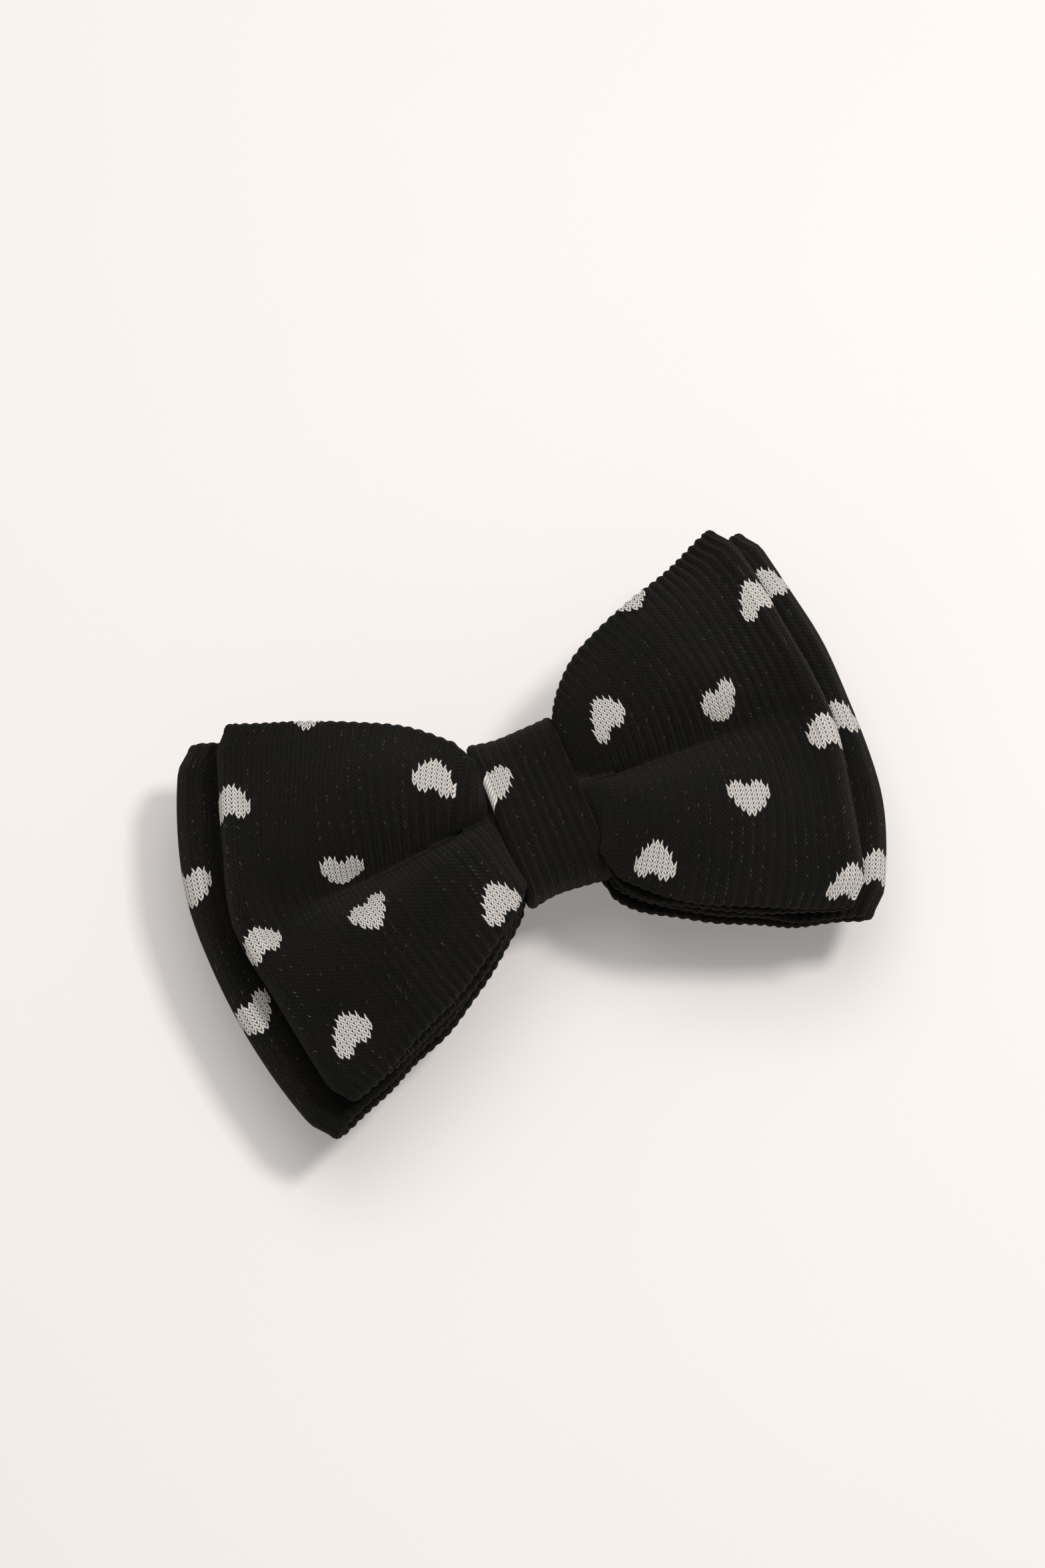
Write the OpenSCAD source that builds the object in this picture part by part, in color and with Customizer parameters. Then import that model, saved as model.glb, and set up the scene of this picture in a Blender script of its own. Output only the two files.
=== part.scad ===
// Double-loop knitted hair bow sewn to an automatic barrette clip.
// It lies on its clip: X along the bow, Y up the bow, Z out of its front.
// The origin is on the resting surface, below the middle of the bow.

/* [Loops] */
// Length of the back loop, fold to fold
back_loop_len = 127; // [108:1:152]
// Length of the front loop, fold to fold
front_loop_len = 115; // [98:1:138]
// Height of the back loop at its corners
back_loop_h = 79; // [66:1:95]
// Height of the front loop at its corners
front_loop_h = 76; // [64:1:92]
// How far each fold bulges past its corners
fold_bulge = 9.6; // [6:0.2:14]
// Height of a loop where it leaves the band
neck_h = 33; // [30:0.5:40]
// Thickness of one knitted wall, a strip folded double
knit_wall = 2.2; // [1.6:0.1:2.7]
// Thickness of one gathered loop under the band
waist_t = 5; // [4.8:0.1:6.2]
// Height of the gathered loops under the band
waist_h = 26.8; // [22:0.2:30]
// How far a wing swells beyond its gathered waist
billow = 4.9; // [4.4:0.1:6]

/* [Centre band] */
// Width of the band along the bow
band_w = 16.4; // [13:0.2:20]
// Thickness of the band
band_wall = 2.1; // [1.6:0.1:2.6]
// Outer corner radius of the band
band_corner = 5; // [3:0.2:5.5]

/* [Threads] */
// Thickness of the sewing thread, laid flat
thread_t = 0.5; // [0.4:0.05:0.6]
// Turns of thread round the gathered waist
gather_turns = 5; // [3:1:7]
// Stitches in each loop's end seam
seam_stitches = 9; // [6:1:11]
// Length of one seam stitch
stitch_len = 2.2; // [1.6:0.1:2.6]
// Turns of thread on each side of a clip hole
clip_turns = 3; // [2:1:3]

/* [Felt backing] */
// Length of the felt along the clip
felt_len = 86; // [72:1:100]
// Width of the felt
felt_w = 13; // [12:0.5:16]
// Thickness of the felt
felt_t = 1.2; // [1:0.1:1.6]

/* [Barrette clip] */
// Length of the base plate
clip_len = 81; // [68:1:97]
// Width of the base plate
clip_w = 9; // [8.6:0.1:10.8]
// Height from the resting surface to the top of the base plate
clip_h = 14.5; // [14:0.1:17]
// Rise of the base plate from its ends to its middle
arch_rise = 5.6; // [4.6:0.1:6.7]
// Thickness of the base plate and its lugs
plate_t = 0.8; // [0.6:0.05:1]
// Radius of each sewing hole in the base plate
sew_hole_r = 1.2; // [1.1:0.05:1.4]
// Width of the clasp arm
arm_w = 6.4; // [5.6:0.1:6.4]
// Thickness of the clasp arm
arm_t = 0.8; // [0.6:0.05:0.9]
// Rise of the clasp arm from its hinge to its middle
arm_rise = 0.9; // [0.6:0.1:1.3]
// Height of the hinge pin above the resting surface
pin_z = 3.8; // [3.4:0.1:4.2]
// Radius of the hinge pin
pin_r = 0.8; // [0.65:0.05:0.95]
// Width of the tension leaf
leaf_w = 5; // [4:0.1:5.6]
// Thickness of the tension leaf
leaf_t = 0.4; // [0.3:0.05:0.5]
// Sag of the tension leaf towards the clasp arm
leaf_sag = 0.6; // [0.2:0.1:1]
// Length of each release prong along the clip
prong_len = 4.6; // [3.8:0.1:5.4]
// Distance between the middles of the two release prongs
prong_pitch = 3.8; // [3.2:0.1:4]

/* [Hidden] */

$fn = 48;
lay_gap = 0.1;            // between layers of cloth that press on each other
steel_gap = 0.3;          // between steel pieces that move past each other
pin_gap = 0.05;           // running clearance of the arm on its pin
fixed_gap = 0.02;         // round what is riveted or threaded in
big = 400;                // larger than the whole bow

// Arch of the base plate, a cylinder about Y
arch_r = (pow(clip_len / 2, 2) + pow(arch_rise, 2)) / (2 * arch_rise);
arch_cz = clip_h - arch_r;
function arch_angle(x) = asin(x / arch_r);
function arch_z(x, depth) = arch_cz + sqrt(pow(arch_r - depth, 2) - x * x);

// Layers from the clip to the front, at the middle of the bow
felt_gap = 0.05;
felt_top = clip_h + felt_gap + felt_t;
band_back = felt_top + lay_gap;
back_waist = band_back + band_wall + lay_gap;
front_waist = back_waist + waist_t + lay_gap;
band_front = front_waist + waist_t + lay_gap + band_wall;
band_h = waist_h + 2 * (lay_gap + band_wall);
gather_groove = thread_t + lay_gap;
gather_pitch = thread_t + lay_gap;
gather_w = gather_turns * gather_pitch + lay_gap;
seam_x = (gather_w + band_w) / 4;
band_stitches = 8;

// Legs of the thread loops that tie the clip down, from its middle outwards
clip_leg = [0.1, clip_w / 2 + 0.4];
clip_loop_top = felt_gap + felt_t + lay_gap / 2;
clip_pitch = thread_t + 0.05;

// The clasp arm, an arch about Y that ends in a window over the prongs
pin_x = -(clip_len / 2 - 3.5);
prong_x = clip_len / 2 - 3.2;
prong_angle = arch_angle(prong_x);
arm_r = (pin_x * pin_x + arm_rise * arm_rise) / (2 * arm_rise);
arm_cz = pin_z + arm_rise - arm_r;
lip_x = clip_len / 2 - 0.5;
arm_end = lip_x - steel_gap;
function arm_z(x, offset) = arm_cz + sqrt(pow(arm_r + offset, 2) - x * x);
knuckle_r = pin_r + 0.95;
barb_out = 0.5;
prong_t = 0.7;
window_w = prong_pitch + prong_t + 2 * barb_out + 0.4;
head_w = window_w + 2.6;
head_x = prong_x - 6.2;
window_x = [prong_x - 4.9, arm_end - 1.3];
lug_t = 0.8;
lug_y = arm_w / 2 + steel_gap;
sew_x = prong_x - 5;
leaf_half = sew_x - 3.8;
keeper_x = leaf_half - 1.6;
leaf_ends_z = arch_z(leaf_half, plate_t) - 0.1 - leaf_t / 2;

// Swell of a wing at u, from 0 at the band to its full height at u = 1
function swell(u) = billow * (1 - pow(1 - min(u, 1), 3));
// Radius of the bulging fold, an arc through the two corners
function fold_r(h) = (pow(h / 2, 2) + pow(fold_bulge, 2)) / (2 * fold_bulge);
// Half height of a wing at u, from the band to the corners
function flare(u, h) =
    neck_h / 2 + (h - neck_h) / 2 * (0.447 * (1 - exp(-4.2 * u)) + 0.56 * u);

module on_arch(x) {
    translate([0, 0, arch_cz]) rotate([0, arch_angle(x), 0]) translate([0, 0, arch_r]) children();
}

// Extrudes an XZ outline along Y, centred
module along_y(width) {
    rotate([90, 0, 0]) linear_extrude(width, center = true) children();
}

// Extrudes a YZ outline along X, centred
module along_x(run) {
    rotate([90, 0, 90]) linear_extrude(run, center = true) children();
}

module rounded_rect(w, h, r) {
    square([w - 2 * r, h], center = true);
    square([w, h - 2 * r], center = true);
    for (sx = [-1, 1], sy = [-1, 1])
        translate([sx * (w / 2 - r), sy * (h / 2 - r)]) circle(r);
}

// Outline of one wing and half the waist, seen from the front; it runs on past
// the fold, which wing_body rounds off
module wing_outline(length, h) {
    start = band_w / 2 + 0.5;
    corner = length / 2 - fold_bulge;
    upper = [for (i = [0:8]) let (u = i / 7.5) [start + u * (corner - start), flare(u, h)]];
    half = concat([[-1, waist_h / 2], [band_w / 2 + 0.1, waist_h / 2]], upper,
        [[length / 2 + 2, upper[8][1]]]);
    lower = [for (i = [len(half) - 1:-1:0]) [half[i][0], -half[i][1]]];
    polygon(concat(half, lower));
}

// Section of one wing, which swells away from the band and is closed by the
// flat faces of wing_body; inset 0 is its outside and knit_wall its hollow
module wing_section(length, inset) {
    start = inset > 0 ? band_w / 2 + 3.2 * inset : -1;
    full = 0.6 * (length / 2 - band_w / 2);
    first = max(start - band_w / 2, 0.1) / full;
    rise = [for (i = [0:9]) let (u = first + i / 9 * (0.9 - first))
        [band_w / 2 + u * full, waist_t + swell(u) - inset]];
    polygon(concat([[start, -1], [start, rise[0][1]]], rise,
        [[length / 2 + 1, waist_t + billow + 1], [length / 2 + 1, -1]]));
}

// Body of one wing whose fold is a half round rim
module wing_body(length, h, inset) {
    tip_r = (waist_t + billow) / 2;
    intersection() {
        along_y(big) wing_section(length, inset);
        translate([length / 2 - fold_r(h), 0, tip_r]) rotate_extrude($fn = 96) {
            translate([fold_r(h) - tip_r, 0]) circle(tip_r - inset);
            translate([0, inset - tip_r]) square([fold_r(h) - tip_r, 2 * (tip_r - inset)]);
        }
    }
}

// A closed loop of knitted strip; dir 1 swells to the front and -1 to the back
module loop(length, h, waist_z, dir) {
    difference() {
        translate([0, 0, waist_z + (dir > 0 ? 0 : waist_t)]) mirror([0, 0, dir > 0 ? 0 : 1])
            for (side = [0, 1]) mirror([side, 0, 0]) difference() {
                intersection() {
                    linear_extrude(big, center = true) wing_outline(length, h);
                    wing_body(length, h, 0);
                }
                wing_body(length, h, knit_wall);
            }
        // room for the gathering thread round both loops
        difference() {
            cube([gather_w, big, big], center = true);
            translate([0, 0, (back_waist + front_waist + waist_t) / 2])
                cube([big, waist_h - 2 * gather_groove,
                      2 * waist_t + lay_gap - 2 * gather_groove], center = true);
        }
        // channel for the seam that closes the strip into a loop
        translate([seam_x - stitch_len / 2 - lay_gap, -waist_h, waist_z - 0.01])
            cube([stitch_len + 2 * lay_gap, 2 * waist_h, thread_t + lay_gap + 0.01]);
    }
}

module seam(z) {
    pitch = (waist_h - 3) / seam_stitches;
    for (i = [0:seam_stitches - 1])
        translate([seam_x - stitch_len / 2, (i - (seam_stitches - 1) / 2) * pitch - thread_t / 2, z])
            cube([stitch_len, thread_t, thread_t]);
}

module front_loop() {
    color([0.10, 0.09, 0.09]) loop(front_loop_len, front_loop_h, front_waist, 1);
}

module back_loop() {
    color([0.12, 0.11, 0.10]) loop(back_loop_len, back_loop_h, back_waist, -1);
}

module center_band() {
    color([0.15, 0.14, 0.13]) difference() {
        translate([0, 0, (band_back + band_front) / 2]) along_x(band_w) difference() {
            rounded_rect(band_h, band_front - band_back, band_corner);
            square([waist_h + 2 * lay_gap, band_front - band_back - 2 * band_wall], center = true);
        }
        // channel for the stitches that close the band behind the bow
        translate([0, 0, band_back - 0.01 + (thread_t + lay_gap) / 2])
            cube([band_w - 2, stitch_len + 2 * lay_gap, thread_t + lay_gap + 0.01], center = true);
    }
}

module gather_thread() {
    outer_h = waist_h - 2 * lay_gap;
    outer_d = 2 * waist_t + lay_gap - 2 * lay_gap;
    color([0.05, 0.05, 0.05]) for (i = [0:gather_turns - 1])
        translate([(i - (gather_turns - 1) / 2) * gather_pitch, 0,
                   (back_waist + front_waist + waist_t) / 2])
            along_x(thread_t) difference() {
                square([outer_h, outer_d], center = true);
                square([outer_h - 2 * thread_t + 0.04, outer_d - 2 * thread_t + 0.04], center = true);
            }
}

module front_loop_seam() { color([0.05, 0.05, 0.06]) seam(front_waist + lay_gap / 2); }

module back_loop_seam() { color([0.06, 0.05, 0.05]) seam(back_waist + lay_gap / 2); }

module band_seam() {
    pitch = (band_w - 3.4) / (band_stitches - 1);
    color([0.06, 0.06, 0.05]) for (i = [0:band_stitches - 1])
        translate([(i - (band_stitches - 1) / 2) * pitch, 0, band_back + lay_gap / 2 + thread_t / 2])
            cube([thread_t, stitch_len, thread_t], center = true);
}

// Shell of the arch between two depths below the top of the base plate
module arch_shell(run, width, top, bottom) {
    intersection() {
        translate([0, 0, arch_cz]) rotate([90, 0, 0]) difference() {
            cylinder(width, r = arch_r - top, center = true, $fn = 360);
            cylinder(width + 1, r = arch_r - bottom, center = true, $fn = 360);
        }
        translate([-run / 2, -width, 0]) cube([run, 2 * width, big]);
    }
}

// Loops of thread through a sewing hole and round both edges of the base plate
module clip_stitches(side) {
    under = -plate_t - 0.05;
    tall = clip_loop_top - under;
    wide = clip_leg[1] - clip_leg[0];
    color([0.07, 0.07, 0.07]) on_arch(side * sew_x)
        for (i = [0:clip_turns - 1], s = [0, 1])
            translate([(i - (clip_turns - 1) / 2) * clip_pitch, 0, 0]) mirror([0, s, 0])
                along_x(thread_t - 0.05) difference() {
                    translate([clip_leg[0], under - thread_t])
                        square([wide + thread_t, tall + 2 * thread_t]);
                    translate([clip_leg[0] + thread_t, under]) square([wide - thread_t, tall]);
                }
}
module clip_stitches_left() { clip_stitches(-1); }
module clip_stitches_right() { clip_stitches(1); }

module felt_backing() {
    slot = [clip_turns * clip_pitch + 0.1, thread_t + 0.1, 3 * felt_t];
    color([0.08, 0.08, 0.09]) difference() {
        arch_shell(felt_len, felt_w, -felt_gap - felt_t, -felt_gap);
        for (side = [-1, 1], s = [-1, 1], leg = clip_leg)
            on_arch(side * sew_x) translate([0, s * (leg + thread_t / 2), felt_t / 2])
                cube(slot, center = true);
    }
}

module barrette_base() {
    top_z = arch_z(pin_x, plate_t / 2);
    keeper_w = leaf_w + 0.2;
    keeper_t = 0.6;
    keeper_len = 1.6;
    keeper_drop = leaf_t + 1.15;
    color([0.72, 0.72, 0.74]) {
        difference() {
            union() {
                arch_shell(clip_len, clip_w, 0, plate_t);
                // hinge lugs, with flat feet on the resting surface
                for (s = [-1, 1])
                    translate([0, s * (lug_y + lug_t / 2), 0]) along_y(lug_t)
                        polygon([[pin_x - 1.8, 0], [pin_x + 1.8, 0], [pin_x + 2.6, top_z],
                                 [pin_x - 2.2, top_z - 0.6]]);
                // lip behind the prongs
                translate([lip_x, -2.4, 0]) cube([plate_t, 4.8, arch_z(lip_x, plate_t / 2)]);
                // keepers that hold the ends of the tension leaf
                for (side = [-1, 1], s = [-1, 1]) on_arch(side * keeper_x)
                    translate([0, s * (keeper_w + keeper_t) / 2, -plate_t - keeper_drop / 2])
                        cube([keeper_len, keeper_t, keeper_drop + 0.4], center = true);
                for (side = [-1, 1]) on_arch(side * keeper_x)
                    translate([0, 0, -plate_t - keeper_drop])
                        cube([keeper_len, keeper_w + 2 * keeper_t, 0.4], center = true);
            }
            translate([pin_x, 0, pin_z]) rotate([90, 0, 0])
                cylinder(clip_w + 2, r = pin_r + fixed_gap, center = true);
            for (side = [-1, 1]) on_arch(side * sew_x)
                cylinder(3 * plate_t, r = sew_hole_r, center = true);
        }
    }
}

// Spring strip held under the base plate at both ends
module tension_leaf() {
    leaf_r = (leaf_half * leaf_half + leaf_sag * leaf_sag) / (2 * leaf_sag);
    color([0.62, 0.62, 0.66]) intersection() {
        translate([0, 0, leaf_ends_z - leaf_sag + leaf_r]) rotate([90, 0, 0]) difference() {
            cylinder(leaf_w, r = leaf_r + leaf_t / 2, center = true, $fn = 720);
            cylinder(leaf_w + 1, r = leaf_r - leaf_t / 2, center = true, $fn = 720);
        }
        translate([-leaf_half, -leaf_w, 0]) cube([2 * leaf_half, 2 * leaf_w, clip_h]);
    }
}

module hinge_pin() {
    head_t = 0.6;
    shank = 2 * (lug_y + lug_t + fixed_gap);
    color([0.55, 0.55, 0.58]) translate([pin_x, 0, pin_z]) rotate([90, 0, 0]) {
        cylinder(shank + head_t, r = pin_r, center = true);
        for (s = [-1, 1]) translate([0, 0, s * (shank + head_t) / 2])
            cylinder(head_t, r = pin_r + 0.7, center = true);
    }
}

// Plan of the clasp arm, with its window over the release prongs
module arm_plan() {
    difference() {
        union() {
            translate([pin_x, -arm_w / 2]) square([head_x + 2 - pin_x, arm_w]);
            translate([(head_x + arm_end) / 2, 0]) rounded_rect(arm_end - head_x, head_w, 1.4);
        }
        translate([window_x[0], -window_w / 2]) square([window_x[1] - window_x[0], window_w]);
    }
}

module clasp_arm() {
    color([0.78, 0.78, 0.80]) difference() {
        union() {
            intersection() {
                translate([0, 0, arm_cz]) rotate([90, 0, 0]) difference() {
                    cylinder(2 * head_w, r = arm_r + arm_t / 2, center = true, $fn = 720);
                    cylinder(2 * head_w + 1, r = arm_r - arm_t / 2, center = true, $fn = 720);
                }
                linear_extrude(clip_h) arm_plan();
            }
            translate([pin_x, 0, pin_z]) rotate([90, 0, 0]) cylinder(arm_w, r = knuckle_r, center = true);
        }
        translate([pin_x, 0, pin_z]) rotate([90, 0, 0])
            cylinder(arm_w + 1, r = pin_r + pin_gap, center = true);
    }
}

// One springy prong, rolled at its top where it bends, barbed below the arm
module release_prong(s) {
    bead_r = 0.5;
    bead_z = -plate_t - 0.06 - bead_r;
    half_fall = prong_len / 2 * sin(prong_angle);
    foot_z = -(arch_z(prong_x, 0) - 0.5 - half_fall) / cos(prong_angle);
    barb_z = (arm_z(prong_x, -arm_t / 2) - arch_cz - half_fall) / cos(prong_angle) - arch_r - steel_gap;
    on_arch(prong_x) translate([0, s * prong_pitch / 2, 0]) {
        translate([0, 0, bead_z]) rotate([0, 90, 0]) cylinder(prong_len, r = bead_r, center = true);
        along_x(prong_len) polygon([
            [-prong_t / 2, bead_z], [-prong_t / 2, foot_z], [prong_t / 2, foot_z],
            [prong_t / 2, bead_z]]);
        along_x(prong_len) polygon([
            [0, barb_z], [s * prong_t / 2, barb_z], [s * (prong_t / 2 + barb_out), barb_z - 0.2],
            [s * prong_t / 2, foot_z + 0.2], [0, foot_z + 0.2]]);
    }
}
module release_prong_front() { color([0.70, 0.70, 0.73]) release_prong(-1); }
module release_prong_back() { color([0.68, 0.68, 0.71]) release_prong(1); }

front_loop();
back_loop();
center_band();
gather_thread();
front_loop_seam();
back_loop_seam();
band_seam();
felt_backing();
clip_stitches_left();
clip_stitches_right();
barrette_base();
tension_leaf();
hinge_pin();
clasp_arm();
release_prong_front();
release_prong_back();
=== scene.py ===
"""Knitted double-loop hair bow on its barrette clip: cloth, thread, felt and steel around the CAD frame."""
import math

import bpy
import numpy as np
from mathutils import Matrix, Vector


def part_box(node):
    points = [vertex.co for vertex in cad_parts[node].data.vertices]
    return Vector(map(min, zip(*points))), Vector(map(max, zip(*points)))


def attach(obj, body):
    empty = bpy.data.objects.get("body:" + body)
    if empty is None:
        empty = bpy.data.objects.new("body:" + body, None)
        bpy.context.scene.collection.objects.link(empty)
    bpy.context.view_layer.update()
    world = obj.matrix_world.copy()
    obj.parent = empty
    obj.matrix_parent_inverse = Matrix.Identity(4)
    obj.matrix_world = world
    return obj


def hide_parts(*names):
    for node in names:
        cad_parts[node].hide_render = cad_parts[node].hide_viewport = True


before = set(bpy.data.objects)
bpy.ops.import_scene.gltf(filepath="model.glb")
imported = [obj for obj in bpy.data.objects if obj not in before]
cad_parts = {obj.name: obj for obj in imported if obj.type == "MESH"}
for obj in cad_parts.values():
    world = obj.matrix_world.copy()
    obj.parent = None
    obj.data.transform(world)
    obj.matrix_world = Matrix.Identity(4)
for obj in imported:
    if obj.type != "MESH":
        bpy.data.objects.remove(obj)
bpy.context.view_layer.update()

MM = 0.001

# ---------------------------------------------------------------- sizes, in mm
WALE = 0.90            # width of one column of stitches
COURSE = 0.82          # height of one row of stitches
RIB = 1.85             # the knit stands in ribs about two columns wide
PLY = 2.1              # thickness of the folded strip
HEART_REACH = 5.5      # no stitch of a heart is further than this from its middle
HEART_PITCH = (18.5, 24.5)     # spacing of the hearts along and across the strip
BACK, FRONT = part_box("back_loop"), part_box("front_loop")
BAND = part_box("center_band")


def mm(box, corner, axis):
    """One coordinate of a frame box, in millimetres."""
    return box[corner][axis] / MM


BAND_HALF = mm(BAND, 1, 0)
BAND_FRONT, BAND_BACK = mm(BAND, 1, 2), mm(BAND, 0, 2)
BAND_TOP = mm(BAND, 1, 1)
STACK_MID = (BAND_FRONT + BAND_BACK) / 2


def smooth(low, high, x):
    t = np.clip((x - low) / (high - low), 0, 1)
    return t * t * (3 - 2 * t)


def drift(a, b, seed, waves=7, longest=46.0, shortest=13.0):
    """Slow random swell over two coordinates in millimetres, about -1 to 1."""
    draw = np.random.default_rng(seed)
    total = 0
    for _ in range(waves):
        length = draw.uniform(shortest, longest)
        angle = draw.uniform(0, math.pi)
        phase = draw.uniform(0, 2 * math.pi)
        total = total + np.sin((a * math.cos(angle) + b * math.sin(angle)) * 2 * math.pi / length + phase)
    return total / math.sqrt(waves)


# ---------------------------------------------------------------- mesh building
def new_object(name, verts, faces, smooth_shade=True):
    mesh = bpy.data.meshes.new(name)
    mesh.from_pydata(verts, [], faces)
    mesh.polygons.foreach_set("use_smooth", [smooth_shade] * len(mesh.polygons))
    mesh.update()
    obj = bpy.data.objects.new(name, mesh)
    bpy.context.scene.collection.objects.link(obj)
    return obj


def unit(a):
    return a / np.maximum(np.linalg.norm(a, axis=-1, keepdims=True), 1e-9)


def ring_cloth(name, mid, half_t, lift, strip, hearts, edge_steps=5):
    """A closed ring of cloth with real thickness and rounded long edges.

    mid is its middle surface, (around, across, xyz) in mm; lift the knit's relief on each face, and
    strip the place in the cloth of each point of its outer face, both (around, across, ...)."""
    around, across = mid.shape[:2]
    along = np.roll(mid, -1, 0) - np.roll(mid, 1, 0)
    aside = np.gradient(mid, axis=1)
    normal = unit(np.cross(along, aside))
    aside = unit(aside)
    rows, places = [], []
    full = strip[:, -1, :] + [0, 1] * np.full((around, 1), half_t.max() * math.pi)
    for k in range(across):
        rows.append(mid[:, k] + normal[:, k] * (half_t[:, k] + lift[:, k])[:, None])
        places.append(strip[:, k])
    for step in range(1, edge_steps):
        a = math.pi * step / edge_steps
        reach = (half_t[:, -1] + lift[:, -1])[:, None]
        rows.append(mid[:, -1] + (normal[:, -1] * math.cos(a) + aside[:, -1] * math.sin(a)) * reach)
        places.append(strip[:, -1] + [0, 1] * (reach * a))
    for k in reversed(range(across)):
        rows.append(mid[:, k] - normal[:, k] * (half_t[:, k] + lift[:, k])[:, None])
        places.append(full + [0, 1] * (strip[:, -1, 1:] - strip[:, k, 1:]))
    for step in range(1, edge_steps):
        a = math.pi * step / edge_steps
        reach = (half_t[:, 0] + lift[:, 0])[:, None]
        rows.append(mid[:, 0] - (normal[:, 0] * math.cos(a) + aside[:, 0] * math.sin(a)) * reach)
        places.append(strip[:, 0] - [0, 1] * (reach * (math.pi - a)))
    verts = np.stack(rows, 1)
    places = np.stack(places, 1)
    count = verts.shape[1]
    i, m = np.meshgrid(np.arange(around), np.arange(count), indexing="ij")
    nxt, up = (i + 1) % around, (m + 1) % count
    corner = [(i, m), (nxt, m), (nxt, up), (i, up)]
    faces = np.stack([a * count + b for a, b in corner], -1).reshape(-1, 4)
    obj = new_object(name, (verts.reshape(-1, 3) * MM).tolist(), faces.tolist())
    uv = np.stack([places[a, b] for a, b in corner], 2).astype(float)
    # corners past a seam of the ring carry on from their neighbours
    for axis in (0, 1):
        first = uv[..., 0, axis]
        for c in range(1, 4):
            jump = np.abs(uv[..., c, axis] - first) > 20
            step = uv[..., c, axis]
            step[jump] = first[jump]
    layer = obj.data.uv_layers.new(name="strip")
    layer.data.foreach_set("uv", uv.reshape(-1))
    centre = uv.mean(2).reshape(-1, 2)
    nearest = np.full((len(centre), 3), 500.0)
    best = np.full(len(centre), HEART_REACH)
    for s, v, up_way in hearts:
        away = np.hypot(centre[:, 0] - s, centre[:, 1] - v)
        hit = away < best
        best[hit] = away[hit]
        nearest[hit] = (s, v, up_way)
    attribute = obj.data.attributes.new("heart", "FLOAT_VECTOR", "CORNER")
    attribute.data.foreach_set("vector", np.repeat(nearest, 4, axis=0).reshape(-1))
    return obj


def whole_stitch(s, v):
    """The nearest boundary of two columns, in the middle of a course."""
    return round(s / WALE) * WALE, round(v / COURSE) * COURSE


def place_hearts(points, strip, wanted):
    """The places in the strip of hearts wanted at (x, y, 1 upright or -1 inverted) on a face of points."""
    found = []
    flat, where = points.reshape(-1, 3), strip.reshape(-1, 2)
    for x, y, way in wanted:
        k = int(np.argmin(np.hypot(flat[:, 0] - x, flat[:, 1] - y)))
        beyond = y - flat[k, 1]
        found.append((*whole_stitch(where[k, 0], where[k, 1] + beyond), way))
    return found


# ---------------------------------------------------------------- knit material
class Graph:
    """Short calls that build a material's node tree."""

    def __init__(self, name):
        self.material = bpy.data.materials.new(name)
        self.material.use_nodes = True
        self.tree = self.material.node_tree
        self.tree.nodes.clear()
        self.out = self.tree.nodes.new("ShaderNodeOutputMaterial")
        self.shader = self.tree.nodes.new("ShaderNodeBsdfPrincipled")
        self.tree.links.new(self.shader.outputs[0], self.out.inputs[0])

    def node(self, kind, **settings):
        n = self.tree.nodes.new(kind)
        for key, value in settings.items():
            setattr(n, key, value)
        return n

    def feed(self, socket, value):
        if hasattr(value, "is_output"):
            self.tree.links.new(value, socket)
        else:
            socket.default_value = value

    def math(self, operation, *values, clamp=False):
        n = self.node("ShaderNodeMath", operation=operation, use_clamp=clamp)
        for socket, value in zip(n.inputs, values):
            self.feed(socket, value)
        return n.outputs[0]

    def ramp(self, value, low, high, to_low=0.0, to_high=1.0):
        n = self.node("ShaderNodeMapRange", interpolation_type="SMOOTHSTEP")
        for socket, v in zip(n.inputs, (value, low, high, to_low, to_high)):
            self.feed(socket, v)
        return n.outputs[0]

    def split(self, vector):
        n = self.node("ShaderNodeSeparateXYZ")
        self.feed(n.inputs[0], vector)
        return n.outputs

    def join(self, x, y, z=0.0):
        n = self.node("ShaderNodeCombineXYZ")
        for socket, value in zip(n.inputs, (x, y, z)):
            self.feed(socket, value)
        return n.outputs[0]

    def noise(self, vector, scale, detail=3.0, roughness=0.55):
        n = self.node("ShaderNodeTexNoise")
        self.feed(n.inputs["Vector"], vector)
        n.inputs["Scale"].default_value = scale
        n.inputs["Detail"].default_value = detail
        n.inputs["Roughness"].default_value = roughness
        return n.outputs[0]

    def random(self, vector):
        n = self.node("ShaderNodeTexWhiteNoise", noise_dimensions="3D")
        self.feed(n.inputs["Vector"], vector)
        return n.outputs["Value"]

    def mix(self, share, a, b):
        n = self.node("ShaderNodeMix", data_type="RGBA")
        self.feed(n.inputs[0], share)
        self.feed(n.inputs[6], a)
        self.feed(n.inputs[7], b)
        return n.outputs[2]

    def bump(self, height, distance, strength=1.0):
        n = self.node("ShaderNodeBump")
        n.inputs["Strength"].default_value = strength
        n.inputs["Distance"].default_value = distance
        self.feed(n.inputs["Height"], height)
        self.feed(self.shader.inputs["Normal"], n.outputs[0])

    def set(self, **sockets):
        for key, value in sockets.items():
            self.feed(self.shader.inputs[key.replace("_", " ")], value)


BLACK_YARN = (0.0088, 0.0064, 0.0050, 1)
BLACKER_YARN = (0.0047, 0.0049, 0.0038, 1)
CREAM_YARN = (0.95, 0.90, 0.85, 1)
YARN_SHADOW = (0.0008, 0.0007, 0.0006, 1)
YARN_HAIRS = (0.034, 0.030, 0.026, 1)


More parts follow.
